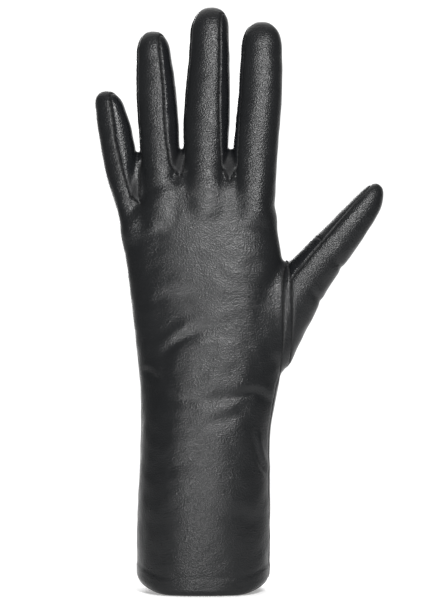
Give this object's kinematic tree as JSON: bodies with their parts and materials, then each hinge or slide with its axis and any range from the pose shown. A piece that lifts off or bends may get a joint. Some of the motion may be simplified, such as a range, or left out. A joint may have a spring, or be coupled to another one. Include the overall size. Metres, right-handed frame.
{
  "type": "leather glove",
  "caption": "Long left-hand leather glove standing on its open cuff, with sewn fingers, side strips between them, a set-in thumb and a lining.",
  "frame": {"origin": "centre of the cuff's mouth, on the plane that the hem stands on", "axes": "+Z towards the fingertips, +Y out of the palm, +X towards the thumb side"},
  "size_m": [0.1489, 0.054, 0.3029],
  "materials": {
    "leather": "smooth black nappa with fine grain and a soft sheen",
    "fourchette": "smooth black nappa, a little glossier",
    "hem": "smooth black nappa, folded edge",
    "lining": "fine knitted tan lining, matt",
    "thread": "black sewing thread, slightly waxed"
  },
  "bodies": {
    "cuff": {"cuff_back": "leather", "cuff_palm": "leather", "cuff_hem": "hem", "cuff_lining": "lining"},
    "hand": {"hand_back": "leather", "hand_palm": "leather", "hand_lining": "lining"},
    "knuckles": {"knuckle_back": "leather", "knuckle_palm": "leather", "knuckle_lining": "lining", "fork_ring_little": "fourchette", "fork_middle_ring": "fourchette", "fork_index_middle": "fourchette"},
    "thumb_base": {"thumb_base_outer": "leather", "thumb_base_inner": "leather", "thumb_gusset": "fourchette", "thumb_base_lining": "lining"},
    "thumb_tip": {"thumb_tip_outer": "leather", "thumb_tip_inner": "leather", "thumb_tip_lining": "lining"},
    "little_mid": {"little_mid_back": "leather", "little_mid_palm": "leather", "little_mid_lining": "lining", "little_mid_fourchette_right": "fourchette"},
    "little_tip": {"little_tip_back": "leather", "little_tip_palm": "leather", "little_tip_lining": "lining", "little_tip_fourchette_right": "fourchette"},
    "ring_mid": {"ring_mid_back": "leather", "ring_mid_palm": "leather", "ring_mid_lining": "lining", "ring_mid_fourchette_left": "fourchette", "ring_mid_fourchette_right": "fourchette"},
    "ring_tip": {"ring_tip_back": "leather", "ring_tip_palm": "leather", "ring_tip_lining": "lining", "ring_tip_fourchette_left": "fourchette", "ring_tip_fourchette_right": "fourchette"},
    "middle_mid": {"middle_mid_back": "leather", "middle_mid_palm": "leather", "middle_mid_lining": "lining", "middle_mid_fourchette_left": "fourchette", "middle_mid_fourchette_right": "fourchette"},
    "middle_tip": {"middle_tip_back": "leather", "middle_tip_palm": "leather", "middle_tip_lining": "lining", "middle_tip_fourchette_left": "fourchette", "middle_tip_fourchette_right": "fourchette"},
    "index_mid": {"index_mid_back": "leather", "index_mid_palm": "leather", "index_mid_lining": "lining", "index_mid_fourchette_left": "fourchette"},
    "index_tip": {"index_tip_back": "leather", "index_tip_palm": "leather", "index_tip_lining": "lining", "index_tip_fourchette_left": "fourchette"}
  },
  "joints": [
    {"name": "wrist_bend", "type": "hinge", "parent": "cuff", "child": "hand", "pos_m": [0, 0, 0.096], "axis": [-1, 0, 0], "range_deg": [-40, 45]},
    {"name": "knuckle_bend", "type": "hinge", "parent": "hand", "child": "knuckles", "pos_m": [0, 0, 0.1873], "axis": [-0.9882, 0, -0.1532], "range_deg": [-10, 70]},
    {"name": "thumb_fold", "type": "hinge", "parent": "hand", "child": "thumb_base", "pos_m": [0.043, 0.004, 0.1415], "axis": [0, 0, 1], "range_deg": [-10, 60]},
    {"name": "thumb_tip_bend", "type": "hinge", "parent": "thumb_base", "child": "thumb_tip", "pos_m": [0.06875, 0, 0.1815], "axis": [0, -1, 0], "range_deg": [0, 60]},
    {"name": "little_first", "type": "hinge", "parent": "knuckles", "child": "little_mid", "pos_m": [-0.04517, 0, 0.2207], "axis": [-0.9848, 0, -0.1736], "range_deg": [0, 90]},
    {"name": "little_second", "type": "hinge", "parent": "little_mid", "child": "little_tip", "pos_m": [-0.0483, 0, 0.23842], "axis": [-0.9848, 0, -0.1736], "range_deg": [0, 60]},
    {"name": "ring_first", "type": "hinge", "parent": "knuckles", "child": "ring_mid", "pos_m": [-0.025, 0, 0.23895], "axis": [-0.9982, 0, -0.0593], "range_deg": [0, 90]},
    {"name": "ring_second", "type": "hinge", "parent": "ring_mid", "child": "ring_tip", "pos_m": [-0.02654, 0, 0.26491], "axis": [-0.9982, 0, -0.0593], "range_deg": [0, 60]},
    {"name": "middle_first", "type": "hinge", "parent": "knuckles", "child": "middle_mid", "pos_m": [0.0012, 0, 0.24398], "axis": [-0.9992, 0, 0.0401], "range_deg": [0, 90]},
    {"name": "middle_second", "type": "hinge", "parent": "middle_mid", "child": "middle_tip", "pos_m": [0.00237, 0, 0.27295], "axis": [-0.9992, 0, 0.0401], "range_deg": [0, 60]},
    {"name": "index_first", "type": "hinge", "parent": "knuckles", "child": "index_mid", "pos_m": [0.02667, 0, 0.24096], "axis": [-0.9986, 0, 0.0523], "range_deg": [0, 90]},
    {"name": "index_second", "type": "hinge", "parent": "index_mid", "child": "index_tip", "pos_m": [0.02808, 0, 0.26792], "axis": [-0.9986, 0, 0.0523], "range_deg": [0, 60]}
  ],
  "couplings": [
    {"joint": "little_second", "follows": "little_first", "ratio": 0.66667},
    {"joint": "ring_second", "follows": "ring_first", "ratio": 0.66667},
    {"joint": "middle_second", "follows": "middle_first", "ratio": 0.66667},
    {"joint": "index_second", "follows": "index_first", "ratio": 0.66667}
  ]
}
